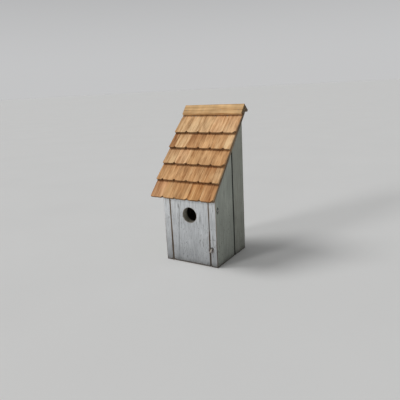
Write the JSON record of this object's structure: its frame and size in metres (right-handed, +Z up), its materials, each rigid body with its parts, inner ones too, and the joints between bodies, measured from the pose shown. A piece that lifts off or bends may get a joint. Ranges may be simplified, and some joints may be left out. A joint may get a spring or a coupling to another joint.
{
  "type": "birdhouse",
  "caption": "Tall wooden birdhouse with a steep shingled shed roof, a round entrance hole, a front door that pivots outward and a turn hook.",
  "frame": {"origin": "centre of the base footprint of the four walls, on the face it stands on", "axes": "+Z up, the front with the entrance hole faces -Y, +X to the right seen from the front"},
  "size_m": [0.174, 0.2006, 0.3832],
  "materials": {
    "shingle": "raw split cypress, grain up the slope",
    "ridge_cap": "raw sawn cypress, grain along the ridge",
    "deck": "weathered grey-brown board",
    "painted_board": "worn whitewash over rough-sawn wood",
    "floor": "unpainted sawn wood",
    "hook_wire": "dulled brass wire",
    "pivot_nail": "dull galvanised",
    "nail": "dull, slightly rusted"
  },
  "bodies": {
    "house": {"back_board": "painted_board", "back_nails": "nail", "cap_brads": "nail", "deck_nails": "nail", "floor_board": "floor", "floor_nails": "nail", "pivot_nails": "pivot_nail", "ridge_cap_front": "ridge_cap", "ridge_cap_rear": "ridge_cap", "roof_deck": "deck", "shingle_1_1": "shingle", "shingle_1_2": "shingle", "shingle_1_3": "shingle", "shingle_1_4": "shingle", "shingle_1_5": "shingle", "shingle_2_1": "shingle", "shingle_2_2": "shingle", "shingle_2_3": "shingle", "shingle_2_4": "shingle", "shingle_2_5": "shingle", "shingle_2_6": "shingle", "shingle_3_1": "shingle", "shingle_3_2": "shingle", "shingle_3_3": "shingle", "shingle_3_4": "shingle", "shingle_3_5": "shingle", "shingle_4_1": "shingle", "shingle_4_2": "shingle", "shingle_4_3": "shingle", "shingle_4_4": "shingle", "shingle_4_5": "shingle", "shingle_4_6": "shingle", "shingle_5_1": "shingle", "shingle_5_2": "shingle", "shingle_5_3": "shingle", "shingle_5_4": "shingle", "shingle_5_5": "shingle", "shingle_brads": "nail", "side_board_front_left": "painted_board", "side_board_front_right": "painted_board", "side_board_rear_left": "painted_board", "side_board_rear_right": "painted_board"},
    "door": {"front_door": "painted_board"},
    "hook": {"latch_hook": "hook_wire"}
  },
  "joints": [
    {"name": "door_swing", "type": "hinge", "parent": "house", "child": "door", "pos_m": [0, -0.066, 0.143], "axis": [-1, 0, 0], "range_deg": [0, 70]},
    {"name": "hook_turn", "type": "hinge", "parent": "house", "child": "hook", "pos_m": [0.0617, -0.076, 0.0486], "axis": [0, -1, 0], "range_deg": [-62, 118]}
  ]
}
